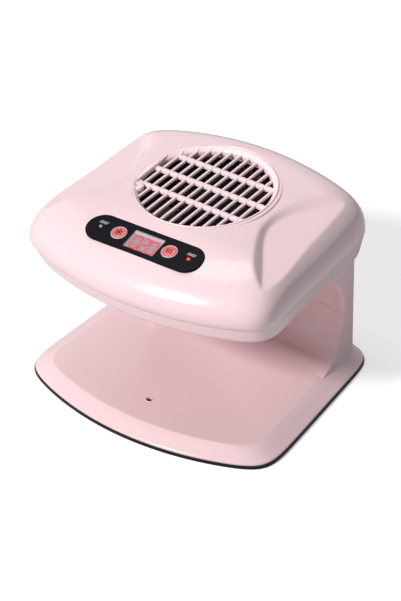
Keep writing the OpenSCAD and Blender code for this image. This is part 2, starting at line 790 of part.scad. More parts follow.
outlet_t = 2.2;
heater_low = floor_top + outlet_t;
heater_r = outlet_d / 2 + 4;
module outlet_grille() {
    color([0.2, 0.2, 0.21])
    translate([0, heater_y, floor_top]) {
        tube(outlet_t, heater_r, outlet_d / 2 - 2);
        intersection() {
            cylinder(h = outlet_t, r = outlet_d / 2);
            union() {
                for (i = [-5:5]) translate([i * 7, 0, 0]) slab([1.8, outlet_d], 0, outlet_t);
                for (y = [-1, 1]) translate([0, y * 14, 0]) slab([outlet_d, 2.4], 0, outlet_t);
            }
        }
    }
}

coil_pitch = 9;
coil_wire = 1.8;
function coil_r(i) = heater_r - 8 - i * coil_pitch;
module heater_frame() {
    ear_z = floor_top + heater_h / 2;
    color([0.85, 0.8, 0.68])
    translate([0, heater_y, 0]) {
        difference() {
            union() {
                translate([0, 0, heater_low]) tube(heater_h, heater_r, heater_r - 1.6);
                for (a = [0:60:120]) rotate(a) slab([2 * heater_r - 2, 1.2], heater_low + 2, heater_h - 4);
            }
            for (i = [0:coils - 1]) translate([0, 0, heater_low + heater_h - 2 - coil_wire])
                tube(heater_h, coil_r(i) + coil_wire / 2 + 0.1, coil_r(i) - coil_wire / 2 - 0.1);
        }
        both_sides() translate([0, 0, ear_z + 2]) difference() {
            union() {
                translate([heater_r - 1.2, -4, -2]) cube([ear_x - heater_r + 1.2, 8, 2]);
                translate([ear_x, 0, -2]) cylinder(h = 2, r = 4);
            }
            translate([ear_x, 0, -3]) cylinder(h = 4, r = screw_r + 2 * screw_fit);
        }
    }
}
module heater_coils() {
    color([0.7, 0.68, 0.66])
    for (i = [0:coils - 1])
        translate([0, heater_y, heater_low + heater_h - 2 - coil_wire / 2])
        rotate_extrude() translate([coil_r(i), 0]) circle(d = coil_wire, $fn = 24);
}
module heater_screws() {
    color([0.6, 0.61, 0.63])
    both_sides() translate([ear_x, heater_y, floor_top + heater_h / 2 + 2]) mirror([0, 0, 1]) screw(8);
}
module thermal_cutoff() {
    color([0.78, 0.78, 0.8])
    translate([0, heater_y + heater_r, heater_low + heater_h / 2]) rotate([-90, 0, 0]) {
        cylinder(h = 1.2, r = 7);
        translate([0, 0, 1.2]) cylinder(h = 4, r = 5.5);
    }
}

// ---------------------------------------------------------------- control panel

control_z = -13;                                // underside of the board's posts: top of the board
board_size = [104, 26];
board_t = 1.6;
ring_t = 0.5;
ring_w = 0.9;
cap_high = 0.9;
cap_low = -1;
switch_h = 3.6;
plunger_r = 1.7;
stem_low = control_z + switch_h + 1.2;
module at_board_posts() { for (x = [-1, 1], y = [-1, 1]) translate([x * 49, y * 10, 0]) children(); }

module panel_fascia() {
    color([0.1, 0.12, 0.16])
    panel_frame() difference() {
        stadium(panel_l, panel_w, -fascia_t, fascia_t);
        slab([window_l + 2 * slack, window_w + 2 * slack], -fascia_t - eps, 10);
        for (x = [-1, 1]) {
            translate([x * button_x, 0, -10]) cylinder(h = 20, r = button_d / 2 + ring_w);
            translate([x * lamp_x, 0, -10]) cylinder(h = 20, r = lamp_d / 2 + slack);
        }
    }
}
module button_rings() {
    color([0.8, 0.78, 0.78])
    panel_frame() for (x = [-1, 1]) translate([x * button_x, 0, -fascia_t])
        tube(fascia_t + ring_t - 0.1, button_d / 2 + ring_w - 0.05, button_d / 2 + 0.3);
}
module display_window() {
    color([0.55, 0.5, 0.52, 0.6])
    panel_frame() slab([window_l, window_w], -fascia_t, fascia_t - 0.3);
}
module display_module() {
    color([0.2, 0.05, 0.06])
    panel_frame() slab([window_l - 1.6, window_w - 1.6], control_z, -fascia_t - control_z);
}
module control_board() {
    color([0.1, 0.35, 0.2])
    panel_frame() difference() {
        slab(board_size, control_z - board_t, board_t);
        at_board_posts() translate([0, 0, control_z - board_t - eps]) cylinder(h = 10, r = 1.1);
    }
}
module board_screws() {
    color([0.6, 0.61, 0.63])
    panel_frame() at_board_posts() translate([0, 0, control_z - board_t]) {
        cylinder(h = board_t + 4, r = 1);
        translate([0, 0, -1.2]) cylinder(h = 1.2, r = 2);
    }
}
module button(x) {
    panel_frame() translate([x, 0, 0]) {
        intersection() {
            translate([0, 0, cap_low]) cylinder(h = cap_high - cap_low, d = button_d);
            translate([0, 0, cap_high - 4 * button_d]) sphere(r = 4 * button_d, $fn = 128);
        }
        translate([0, 0, stem_low]) cylinder(h = cap_low - stem_low + 0.2, r = stem_r);
    }
}
module cool_button() { color([0.85, 0.4, 0.38]) button(-button_x); }
module hot_button() { color([0.85, 0.4, 0.38]) button(button_x); }
module plunger(x) {
    panel_frame() translate([x, 0, stem_low - 2.8]) cylinder(h = 2.8, r = plunger_r);
}
module cool_plunger() { color([0.2, 0.2, 0.2]) plunger(-button_x); }
module hot_plunger() { color([0.2, 0.2, 0.2]) plunger(button_x); }
module switch_bodies() {
    color([0.3, 0.3, 0.32])
    panel_frame() for (x = [-1, 1]) translate([x * button_x, 0, control_z]) difference() {
        slab([6.2, 6.2], 0, switch_h);
        translate([0, 0, 1]) cylinder(h = switch_h, r = plunger_r + 0.1);
    }
}
module lamp(x) {
    panel_frame() translate([x, 0, 0]) {
        translate([0, 0, control_z]) cylinder(h = -control_z - 0.6, d = lamp_d);
        translate([0, 0, control_z]) cylinder(h = 1, d = lamp_d + 0.8);
        translate([0, 0, -0.6]) intersection() {
            sphere(d = lamp_d);
            cylinder(h = lamp_d, d = lamp_d);
        }
    }
}
module cool_lamp() { color([0.6, 0.6, 0.6]) lamp(-lamp_x); }
module hot_lamp() { color([0.9, 0.15, 0.15]) lamp(lamp_x); }

// ---------------------------------------------------------------- power supply

power_post_h = 3;
power_size = [36, 84];
power_c = [84, 4];
module at_power_posts() {
    for (x = [-1, 1], y = [-1, 1])
        translate([power_c.x + x * (power_size.x / 2 - 3), power_c.y + y * (power_size.y / 2 - 3), head_z])
        children();
}
power_z = floor_top + power_post_h;
module power_board() {
    color([0.1, 0.35, 0.2])
    translate([power_c.x, power_c.y, 0]) slab(power_size, power_z, board_t);
}
module transformer() {
    low = power_z + board_t;
    color([0.75, 0.7, 0.3])
    translate([power_c.x, power_c.y + 14, 0]) {
        slab([34, 14], low, 28);
        difference() {
            slab([26, 34], low + 2, 24);
            slab([30, 14], low - 1, 30);
        }
    }
}

// Internal wires, from the inlet up the column to the power board
loom_r = 1.6;
loom_path = [
    [0, 79, 31], [0, 80.5, 40], [0, 85, 47], [0, 89.5, 56], [0, 89.5, 70], [0, 87, 88], [0, 81, 104],
    [2, 79, 116], [12, 76, 123], [32, 70, 124], [52, 64, 124], [72, 54, 124], [78, 46, 124]
];
function unit(v) = v / norm(v);
module wiring_loom() {
    last = len(loom_path) - 1;
    color([0.15, 0.15, 0.4])
    skin([
        for (i = [0:last])
        let (
            way = unit(loom_path[min(i + 1, last)] - loom_path[max(i - 1, 0)]),
            side = unit(cross(way, [0.3, -1, 0.2])), other = cross(side, way)
        )
        [for (a = [0:45:315]) loom_path[i] + loom_r * (cos(a) * side + sin(a) * other)]
    ]);
}

base_shell();
bottom_plate();
foot_pads();
base_screws();
sensor_lens();
sensor_board();
head_lower_cover();
head_upper_cover();
head_screws();
column_screws();
intake_grille();
grille_screw();
outlet_grille();
fan_frame();
fan_stator();
fan_bearings();
fan_rotor();
fan_screws();
heater_frame();
heater_coils();
heater_screws();
thermal_cutoff();
panel_fascia();
display_window();
display_module();
control_board();
board_screws();
button_rings();
cool_button();
hot_button();
cool_plunger();
hot_plunger();
switch_bodies();
cool_lamp();
hot_lamp();
power_board();
transformer();
mains_inlet();
inlet_pins();
wiring_loom();
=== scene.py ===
import json
import math
import bmesh
import bpy
import numpy as np
from mathutils import Matrix


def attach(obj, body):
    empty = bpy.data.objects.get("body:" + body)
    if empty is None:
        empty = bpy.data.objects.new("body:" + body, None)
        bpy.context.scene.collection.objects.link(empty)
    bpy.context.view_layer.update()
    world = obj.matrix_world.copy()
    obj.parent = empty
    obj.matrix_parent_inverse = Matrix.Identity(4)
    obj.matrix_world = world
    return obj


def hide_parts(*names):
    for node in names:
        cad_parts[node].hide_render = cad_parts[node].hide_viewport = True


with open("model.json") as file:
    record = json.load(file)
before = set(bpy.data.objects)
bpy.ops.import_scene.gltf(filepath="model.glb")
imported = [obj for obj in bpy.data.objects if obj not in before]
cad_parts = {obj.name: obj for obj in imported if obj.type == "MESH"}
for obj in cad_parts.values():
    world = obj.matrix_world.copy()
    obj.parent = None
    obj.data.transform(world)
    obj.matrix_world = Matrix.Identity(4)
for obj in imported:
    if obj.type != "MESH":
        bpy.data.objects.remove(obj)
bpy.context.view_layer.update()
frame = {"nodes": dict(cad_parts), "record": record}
scene = bpy.context.scene
print("frame loaded:", len(frame["nodes"]), "nodes")

# camera, lamps and floor; places in mm

mm = 0.001
view = {"place": (611.8, -888.0, 825.3), "aim": (0.32, 4.2, 70.11), "roll": -0.17, "lens": 94.12}
lampForms = {
    "key": {"place": (-1200, -4350, 3450), "side": 760, "watts": 303.0},
    "top": {"place": (-300, 200, 1500), "side": 900, "watts": 6.0},
}
studio = {
    "worldLight": 0.19,
    "fillTint": (0.88, 0.94, 1.0),
    "floorColour": (0.75, 0.75, 0.75),
    "floorLift": 0.5,
    "floorReach": 8,
}


def lookAt(place, aim, roll=0):
    forward = np.array(aim, float) - np.array(place, float)
    forward /= np.linalg.norm(forward)
    right = np.cross(forward, (0, 0, 1))
    right /= np.linalg.norm(right)
    up = np.cross(right, forward)
    turn = Matrix((right, up, -forward)).transposed().to_4x4()
    tilted = turn @ Matrix.Rotation(math.radians(roll), 4, "Z")
    return Matrix.Translation(np.array(place) * mm) @ tilted


camera = bpy.data.objects.new("camera", bpy.data.cameras.new("camera"))
camera.data.lens = view["lens"]
camera.data.sensor_width = 36
camera.data.clip_end = 50
camera.matrix_world = lookAt(view["place"], view["aim"], view["roll"])
scene.collection.objects.link(camera)
scene.camera = camera
scene.view_settings.view_transform = "Standard"


# one output socket; a sum or product with it adds a Math node
class Value:
    def __init__(self, finish, socket):
        self.finish, self.socket = finish, socket

    def maths(self, operation, a, b):
        return self.finish.node("Math", {"operation": operation}, {0: a, 1: b})

    def __add__(self, other):
        return self.maths("ADD", self, other)

    def __radd__(self, other):
        return self.maths("ADD", other, self)

    def __mul__(self, other):
        return self.maths("MULTIPLY", self, other)

    def __rmul__(self, other):
        return self.maths("MULTIPLY", other, self)


class Finish:
    def __init__(self, name, owner=None):
        self.owner = owner or bpy.data.materials.new(name)
        self.owner.use_nodes = True
        self.tree = self.owner.node_tree
        self.tree.nodes.clear()

    def node(self, kind, settings=None, sockets=None, out=0):
        made = self.tree.nodes.new("ShaderNode" + kind)
        for key, value in (settings or {}).items():
            setattr(made, key, value)
        for key, value in (sockets or {}).items():
            socket = made.inputs[key]
            if isinstance(value, Value):
                self.tree.links.new(value.socket, socket)
            elif socket.type == "RGBA":
                socket.default_value = (*value, 1)
            else:
                socket.default_value = value
        return Value(self, made.outputs[out]) if len(made.outputs) else None

    def place(self):
        return self.node("TexCoord", out="Object")

    def noise(self, scale, detail=3, roughness=0.5, stretch=None):
        where = self.place()
        if stretch:
            where = self.node("Mapping", {}, {"Vector": where, "Scale": stretch})
        return self.node("TexNoise", {}, {
            "Vector": where, "Scale": scale, "Detail": detail, "Roughness": roughness,
        })

    def mix(self, factor, a, b):
        return self.node("Mix", {"data_type": "RGBA"}, {0: factor, 6: a, 7: b}, out=2)

    def bump(self, height, distance, strength=1.0):
        return self.node("Bump", {}, {"Height": height, "Distance": distance, "Strength": strength})

    def surface(self, sockets):
        shader = self.node("BsdfPrincipled", {}, sockets)
        self.node("OutputMaterial", {}, {"Surface": shader})
        return self.owner


def srgb(*levels):
    shares = [level / 255 for level in levels]
    return tuple(c / 12.92 if c <= 0.04045 else ((c + 0.055) / 1.055) ** 2.4 for c in shares)


def darker(colour, share):
    return tuple(c * share for c in colour)


def lamp(name, form):
    data = bpy.data.lights.new(name, "AREA")
    data.energy = form["watts"]
    data.size = form["side"] * mm
    obj = bpy.data.objects.new(name, data)
    obj.matrix_world = lookAt(form["place"], (0, 0, 80))
    scene.collection.objects.link(obj)


for name, form in lampForms.items():
    lamp(name + "Lamp", form)

world = bpy.data.worlds.new("studio")
scene.world = world
sky = Finish("studio", world)
# white where it is seen, dim and a little cool where it lights
kinds = ("Camera", "Glossy", "Transmission")
rays = [sky.node("LightPath", out=f"Is {kind} Ray") for kind in kinds]
seen = rays[0]
for ray in rays[1:]:
    seen = sky.node("Math", {"operation": "MAXIMUM"}, {0: seen, 1: ray})
backdrop = sky.node("Background", {}, {
    "Color": sky.mix(seen, studio["fillTint"], (1, 1, 1)),
    "Strength": seen * (1 - studio["worldLight"]) + studio["worldLight"],
})
sky.node("OutputWorld", {}, {"Surface": backdrop})


def floorFinish():
    f = Finish("paleFloor")
    cameraRay = f.node("LightPath", out="Is Camera Ray")
    cloud = f.noise(1.5, 2)
    colour = f.mix(cloud, studio["floorColour"], darker(studio["floorColour"], 0.985))
    matte = f.node("BsdfDiffuse", {}, {"Color": colour})
    lift = f.node("Emission", {}, {"Color": (1, 1, 1), "Strength": cameraRay * studio["floorLift"]})
    f.node("OutputMaterial", {}, {"Surface": f.node("AddShader", {}, {0: matte, 1: lift})})
    return f.owner


reachOut = studio["floorReach"]
corners = [(x * reachOut, y * reachOut, 0) for x, y in ((-1, -1), (1, -1), (1, 1), (-1, 1))]
floorMesh = bpy.data.meshes.new("floor")
floorMesh.from_pydata(corners, [], [(0, 1, 2, 3)])
floorMesh.materials.append(floorFinish())
floor = bpy.data.objects.new("floor", floorMesh)
scene.collection.objects.link(floor)
print("studio ready")

# finishes, one for each slot of the record

pink = srgb(234, 203, 206)


def moulded(name, colour, roughness, grain=0.004, coat=0.35, drift=0.04, ior=1.5):
    f = Finish(name)
    broad = f.noise(9, 2)
    fine = f.noise(1400, 2)
    wear = f.noise(160, 4, 0.6)
    peel = f.noise(240, 2)
    return f.surface({
        "Base Color": f.mix(broad, colour, darker(colour, 1 - drift)),
        "Roughness": wear * 0.08 + (roughness - 0.04),
        "Coat Weight": broad * 0.1 + (coat - 0.05),
        "Coat Roughness": 0.08,
        "IOR": ior,
        "Normal": f.bump(peel * 0.7 + fine * 0.3, grain * mm),
    })


def metal(name, colour, roughness, stretch=(1, 1, 1), scale=900):
    f = Finish(name)
    brushed = f.noise(scale, 3, 0.6, stretch)
    patches = f.noise(60, 3)
    return f.surface({
        "Base Color": f.mix(patches, colour, darker(colour, 0.8)),
        "Roughness": brushed * 0.16 + (roughness - 0.08),
        "Metallic": 1.0,
        "Normal": f.bump(brushed, 0.02 * mm),
    })


def glowing(name, colour, strength, base):
    f = Finish(name)
    flicker = f.noise(700, 2)
    return f.surface({
        "Base Color": f.mix(flicker, base, darker(base, 0.9)),
        "Emission Color": f.mix(flicker, colour, darker(colour, 0.85)),
        "Emission Strength": strength,
        "IOR": 1.2,
        "Roughness": flicker * 0.05 + 0.5,
    })


def boardFinish():
    f = Finish("boardGreen")
    tracks = f.node("TexBrick", {"offset": 0.5}, {
        "Vector": f.place(), "Scale": 160.0,
        "Color1": (0.02, 0.12, 0.06), "Color2": (0.03, 0.17, 0.08), "Mortar": (0.05, 0.26, 0.13),
    })
    grain = f.noise(900, 2)
    return f.surface({
        "Base Color": tracks,
        "Roughness": grain * 0.1 + 0.3,
        "Normal": f.bump(grain, 0.02 * mm),
    })


def smokedGlass():
    f = Finish("smokedWindow")
    dust = f.noise(420, 3)
    return f.surface({
        "Base Color": f.mix(dust, srgb(176, 165, 170), srgb(160, 150, 156)),
        "Roughness": dust * 0.05 + 0.08,
        "Alpha": dust * 0.05 + 0.08,
        "IOR": 1.35,
    })


finishes = {
    "shell_pink": moulded("shellPink", pink, 0.2),
    # the grille's pink is lighter than the shell's pink: painted sheen that brightens the slat tops
    "grille_pink": moulded("grillePinkPaintedSheen", srgb(242, 215, 217), 0.34, coat=0.12),
    "plate_black": moulded("plateBlack", srgb(14, 14, 16), 0.35, coat=0.05, ior=1.3),
    "foot_rubber": moulded("footRubber", srgb(45, 45, 47), 0.8, 0.08, 0.0),
    "screw_steel": metal("screwSteel", (0.55, 0.56, 0.58), 0.32),
    "sensor_dark": moulded("sensorDark", srgb(12, 10, 13), 0.2, coat=0.1, ior=1.35),
    "board_green": boardFinish(),
    "grille_dark": moulded("outletDark", srgb(58, 57, 60), 0.5, 0.05, 0.05),
    "fan_black": moulded("fanBlack", srgb(16, 17, 23), 0.5, 0.02, 0.0, ior=1.15),
    "winding_copper": metal("windingCopper", (0.72, 0.3, 0.12), 0.3, (1, 1, 30), 300),
    "bearing_bronze": metal("bearingBronze", (0.6, 0.42, 0.2), 0.4),
    "heater_mica": moulded("heaterMica", srgb(196, 182, 146), 0.55, 0.1, 0.0, 0.25),
    "heater_wire": metal("heaterWire", (0.5, 0.46, 0.42), 0.35),
    "cutoff_metal": metal("cutoffMetal", (0.72, 0.72, 0.74), 0.3),
    "panel_navy": moulded("panelNavy", srgb(11, 14, 21), 0.24, 0.002, 0.0, ior=1.14),
    "window_smoke": smokedGlass(),
    "display_dark": moulded("displayDark", srgb(168, 146, 152), 0.5, 0.004, 0.0),
    "ring_pale": moulded("ringPale", srgb(206, 198, 200), 0.25),
    "button_coral": moulded("buttonCoral", srgb(220, 92, 90), 0.3, coat=0.15),
    "switch_dark": moulded("switchDark", srgb(38, 38, 40), 0.5, 0.04, 0.0),
    "lamp_clear": moulded("lampClear", srgb(150, 152, 156), 0.15),
    "lamp_red": glowing("lampRed", (1.0, 0.06, 0.06), 0.9, (0.8, 0.06, 0.06)),
    "transformer_steel": metal("transformerSteel", (0.4, 0.37, 0.33), 0.5, (1, 40, 1), 200),
    "inlet_black": moulded("inletBlack", srgb(28, 28, 30), 0.45, 0.05, 0.05),
    "pin_metal": metal("pinMetal", (0.75, 0.74, 0.72), 0.2),
    "wire_insulation": moulded("wireInsulation", srgb(52, 52, 110), 0.45),
}
slots = {part["node"]: part["material_slot"] for part in frame["record"]["subparts"]}
for node, obj in frame["nodes"].items():
    obj.data.materials.clear()
    obj.data.materials.append(finishes[slots[node]])
print("finishes ready:", len(finishes))

# meshes are worked out in mm

outlineForm = {"points": 360, "sharp": 16, "focus": 0.5}


# angles round an outline, closer together at its corners
def turnAngles(count):
    t = 2 * np.pi * np.arange(count) / count
    return t + outlineForm["focus"] / 4 * np.sin(4 * t)


def softMin(a, b, soft):
    return (a + b - np.sqrt((a - b) ** 2 + soft ** 2)) / 2


def softMax(a, b, soft):
    return (a + b + np.sqrt((a - b) ** 2 + soft ** 2)) / 2


def softStep(a, b, x):
    u = np.clip((x - a) / (b - a), 0, 1)
    return u * u * (3 - 2 * u)


# distance from the middle to an outline; insets at side, front and rear
def reach(t, form, insets):
    s, c = np.sin(t), np.cos(t)
    ahead = s < 0
    side = (form["half"] - insets[0]) / (np.abs(c) + form["taper"] * s)
    y = np.where(ahead, form["front"] - insets[1], form["back"] - insets[2])
    r = np.where(ahead, form["frontR"] - insets[1], form["backR"] - insets[2])
    q = r - y
    bow = np.sqrt(r * r - q * q * (1 - s * s)) - q * np.abs(s)
    sharp = outlineForm["sharp"]
    return (side ** -sharp + bow ** -sharp) ** (-1 / sharp)


def outline(form, insets, t):
    r = reach(t, form, insets)
    return np.stack([r * np.cos(t), r * np.sin(t)], -1)


def ring(form, insets, z, t=turnAngles(outlineForm["points"])):
    flat = outline(form, insets, t)
    return np.concatenate([flat, np.full((len(flat), 1), z)], 1)


# smooth curve through a list of points, each a row of numbers
def curve(points, steps):
    p = np.array(points, float)
    p = np.concatenate([[2 * p[0] - p[1]], p, [2 * p[-1] - p[-2]]])
    out = []
    for k in range(1, len(p) - 2):
        for u in np.arange(steps) / steps:
            a, b, c, d = p[k - 1:k + 3]
            even = 2 * a - 5 * b + 4 * c - d
            odd = 3 * b - 3 * c + d - a
            out.append(0.5 * (2 * b + (c - a) * u + even * u ** 2 + odd * u ** 3))
    return np.array(out + [p[-2]])


# a body is (points, faces); each end is flat, open (None) or drawn to a point
def skin(rings, low="flat", high="flat"):
    n, m = len(rings[0]), len(rings)
    points = np.concatenate(rings)
    j, i = np.meshgrid(np.arange(m - 1), np.arange(n), indexing="ij")
    a, b = j * n + i, j * n + (i + 1) % n
    faces = np.stack([a, b, b + n, a + n], -1).reshape(-1, 4).tolist()
    for end, first in ((low, 0), (high, (m - 1) * n)):
        loop = [first + k for k in range(n)]
        if end == "flat":
            faces.append(loop[::-1] if first == 0 else loop)
        elif end is not None:
            points = np.concatenate([points, [end]])
            tip = len(points) - 1
            faces += [[loop[k], tip, loop[(k + 1) % n]][::-1 if first else 1] for k in range(n)]
    return points, faces


# rings that close on themselves
def tube(rings):
    points, faces = skin(rings + [rings[0]], None, None)
    last = len(rings) * len(rings[0])
    return points[:last], [[k % last for k in face] for face in faces]


def join(*bodies):
    points, faces, shift = [], [], 0
    for body in bodies:
        points.append(np.asarray(body[0], float))
        faces += [[k + shift for k in face] for face in body[1]]
        shift += len(body[0])
    return np.concatenate(points), faces


def moved(body, matrix):
    m = np.array(matrix)
    return np.asarray(body[0]) @ m[:3, :3].T + m[:3, 3], body[1]


def shifted(body, x=0, y=0, z=0, turn=0):
    return moved(body, Matrix.Translation((x, y, z)) @ Matrix.Rotation(math.radians(turn), 4, "Z"))


# turned shape from (radius, z) pairs; closed joins the last pair to the first
def turned(profile, n=96, closed=False):
    t = 2 * np.pi * np.arange(n) / n
    rings = []
    for r, z in profile:
        if r > 0 or closed:
            rings.append(np.stack([r * np.cos(t), r * np.sin(t), np.full(n, float(z))], -1))
    if closed:
        return tube(rings)
    low = (0, 0, profile[0][1]) if profile[0][0] == 0 else "flat"
    high = (0, 0, profile[-1][1]) if profile[-1][0] == 0 else "flat"
    return skin(rings, low, high)


def arc(x, y, r, degrees):
    return [(x + r * math.cos(math.radians(a)), y + r * math.sin(math.radians(a))) for a in degrees]


def stadiumLoop(length, width, n):
    right = arc((length - width) / 2, 0, width / 2, np.linspace(-90, 90, n))
    return np.array(right + [(-x, -y) for x, y in right])


def boxLoop(length, width, radius, n):
    pts = []
    for qx, qy, start in ((1, -1, -90), (1, 1, 0), (-1, 1, 90), (-1, -1, 180)):
        x, y = qx * (length / 2 - radius), qy * (width / 2 - radius)
        pts += arc(x, y, radius, [start + 90 * k / n for k in range(n + 1)])
    return np.array(pts)


# plate from a loop that shrinks by an inset: stations are (inset, z)
def plate(loopAt, stations):
    rings = []
    for inset, z in stations:
        loop = loopAt(inset)
        rings.append(np.column_stack([loop, np.full(len(loop), float(z))]))
    return skin(rings)


def stadiumPlate(length, width, stations, n=24):
    return plate(lambda inset: stadiumLoop(length - 2 * inset, width - 2 * inset, n), stations)


def boxPlate(length, width, stations, radius, shrink=0, n=6):
    def loopAt(inset):
        corner = max(0.05, radius - shrink * inset)
        return boxLoop(length - 2 * inset, width - 2 * inset, corner, n)

    return plate(loopAt, stations)


def build(name, body):
    mesh = bpy.data.meshes.new(name)
    mesh.from_pydata((np.asarray(body[0]) * mm).tolist(), [], body[1])
    work = bmesh.new()
    work.from_mesh(mesh)
    bmesh.ops.recalc_face_normals(work, faces=work.faces)
    work.to_mesh(mesh)
    work.free()
    obj = bpy.data.objects.new(name, mesh)
    scene.collection.objects.link(obj)
    return obj


def carve(obj, body, operation="DIFFERENCE"):
    cutter = build("cutter", body)
    modifier = obj.modifiers.new("cut", "BOOLEAN")
    modifier.operation = operation
    modifier.object = cutter
    modifier.solver = "EXACT"
    bpy.context.view_layer.update()
    done = bpy.data.meshes.new_from_object(obj.evaluated_get(bpy.context.evaluated_depsgraph_get()))
    obj.modifiers.clear()
    old = obj.data
    obj.data = done
    bpy.data.meshes.remove(old)
    bpy.data.objects.remove(cutter)


def finishPiece(obj, slotName, body="root", nodes=(), sharp=40):
    obj.data.materials.clear()
    obj.data.materials.append(finishes[slotName])
    obj.data.polygons.foreach_set("use_smooth", [True] * len(obj.data.polygons))
    obj.data.set_sharp_from_angle(angle=math.radians(sharp))
    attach(obj, body)
    if nodes:
        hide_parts(*nodes)
    return obj


# outlines of the base and the head, and the heights that pieces share
base = {"half": 120.9, "front": 110.5, "back": 109.8, "frontR": 262, "backR": 520, "taper": 0.038}
head = {"half": 115.5, "front": 107.8, "back": 110.4, "frontR": 260, "backR": 300, "taper": 0.024}
level = {"tray": 13.5, "seam": 60.7, "head": 115.0, "part": 130.0, "widest": 139.5, "top": 177.8}
tilt = {"head": math.radians(3.64), "panel": math.radians(12.9)}
middleY = {"fan": 12.3, "panel": -72.2, "bend": -46.7}
seamGap = 0.35


def grillePlane(y):
    return level["top"] + math.tan(tilt["head"]) * y


def panelPlane(y):
    return grillePlane(middleY["bend"]) + math.tan(tilt["panel"]) * (y - middleY["bend"])


def slopingFrame(y, z, angle):
    return Matrix.Translation((0, y, z)) @ Matrix.Rotation(angle, 4, "X")


grilleFrame = slopingFrame(middleY["fan"], grillePlane(middleY["fan"]), tilt["head"])
panelFrame = slopingFrame(middleY["panel"], panelPlane(middleY["panel"]), tilt["panel"])

# column: a bar bent in plan, with a cove and a fillet at each end
column = {
    "half": 104.5, "back": 103.5, "thick": 20.2, "lean": math.radians(4.3), "bow": 760,
    "footCove": 24, "headCove": 38.5, "headPower": 2.6, "corners": (3, 5.5), "fillet": 6,
}
waistY = column["back"] - math.tan(column["lean"]) * level["seam"] - column["thick"]


def filletDepth(away):
    near = max(0.0, 1 - away / column["fillet"])
    return column["fillet"] * min(1.2, near) ** 2


def columnFront(z):
    if z < level["seam"]:
        u = (level["seam"] - z) / (level["seam"] - level["tray"])
        return waistY - column["footCove"] * u ** 2 - filletDepth(z - level["tray"])
    u = (z - level["seam"]) / (level["head"] - level["seam"])
    return waistY - column["headCove"] * u ** column["headPower"] - filletDepth(level["head"] - z)


def columnRing(z, inset=0.0):
    half = column["half"] - inset
    front = columnFront(z) + inset
    back = column["back"] - math.tan(column["lean"]) * z - inset
    rf, rb = (max(0.8, r - inset) for r in column["corners"])
    quarter = np.arange(0, 91, 15)
    pts = [(x, front) for x in np.linspace(rf - half, half - rf, 61)[:-1]]
    pts += arc(half - rf, front + rf, rf, quarter - 90)
    pts += arc(half - rb, back - rb, rb, quarter)
    pts += [(x, back) for x in np.linspace(half - rb, rb - half, 41)[1:-1]]
    pts += arc(rb - half, back - rb, rb, quarter + 90)
    pts += arc(rf - half, front + rf, rf, quarter + 180)
    return np.array([(x, y - x * x / column["bow"], z) for x, y in pts[:-1]])


# base: tray with a sloping border, from (inset, z), joined to the lower half of the column
border = {"front": 0.8, "rear": 0.3}
borderCurve = curve([
    (1.2, 3.6), (1.0, 4.6), (1.25, 5.5), (2.4, 6.3), (6.2, 8.2), (11.5, 11.0), (16.2, 13.1),
    (17.6, 13.42), (19, 13.5),
], 6)
trayRings = [ring(base, (i, border["front"] * i, border["rear"] * i), z) for i, z in borderCurve]
shell = build("baseShell", skin(trayRings))
heights = [6, 9, 12, 13, *np.linspace(13.5, 20, 9), *np.linspace(22, level["seam"] - seamGap, 24)]
carve(shell, skin([columnRing(z) for z in heights] + [columnRing(level["seam"], seamGap)]), "UNION")
sensor = {"y": -70.8, "hole": 2.75, "lens": 2.65}
sensorHole = [(0, 5), (sensor["hole"], 5), (sensor["hole"], 14.1), (0, 14.1)]
carve(shell, shifted(turned(sensorHole, 48), y=sensor["y"]))
finishPiece(shell, "shell_pink", nodes=("base_shell",))
print("base ready")

# head, lower cover: belly rings, from a rise and three insets, with the upper half of the column
bellyCurve = curve([
    (0, 9.4, 16.7, 9.4), (0.5, 5.9, 12.3, 6.2), (1.95, 3.7, 10.1, 3.9), (4.5, 2.7, 8.4, 3.1),
    (9, 1.9, 6.6, 2.3), (14.8, 1.25, 4.45, 1.65), (15, 1.35, 4.55, 1.75),
], 6)
bellyRings = [ring(head, insets, level["head"] + rise) for rise, *insets in bellyCurve]
lower = build("headLowerCover", skin(bellyRings))
heights = [*np.linspace(level["seam"] + seamGap, 106, 26), *np.linspace(107, 115, 9), 116.5]
carve(lower, skin([columnRing(level["seam"], seamGap)] + [columnRing(z) for z in heights]), "UNION")
outletHole = [(0, 110), (40.6, 110), (40.6, 115.2), (40, 115.8), (40, 126), (0, 126)]
carve(lower, turned(outletHole, 128))
finishPiece(lower, "shell_pink", nodes=("head_lower_cover",))
print("lower cover ready")

# head, upper cover: rolled edge, scallops at the sides and the panel's hollow
roll = {"side": 27.5, "front": 37, "back": 39}
cover = {"points": 560, "wall": 2.6, "groove": 0.12, "belly": (1.2, 4.4, 1.6)}
crownForm = {"rise": 0.7, "panelRise": 1.6, "soft": 3, "bow": 1540, "flat": 0.55, "flatRun": 100}
scallop = {
    "x": 70.2, "y": 2.0, "rise": 2.2, "nose": 20.0, "flare": 0.75, "fall": math.radians(8.4),
    "run": 0.75, "backRun": 1.6, "backY": 50, "floorSoft": 1.6, "soft": 0.6, "softGrowth": 1.3,
}
hollow = {"back": (51, 13.5), "front": (103, -42), "r": 11, "deep": 0.3, "floorSoft": 1.4, "soft": 0.7}
scallopFrame = (
    Matrix.Translation((0, 0, level["top"] + scallop["rise"]))
    @ Matrix.Rotation(scallop["fall"], 4, "Y")
    @ Matrix.Rotation(tilt["head"], 4, "X")
    @ Matrix.Translation((0, scallop["y"], 0))
)


def crown(x, y):
    f = crownForm
    top = softMin(grillePlane(y) + f["rise"], panelPlane(y) + f["panelRise"], f["soft"])
    return top - x * x / f["bow"] * np.maximum(f["flat"], np.minimum(1, 1 + y / f["flatRun"]))


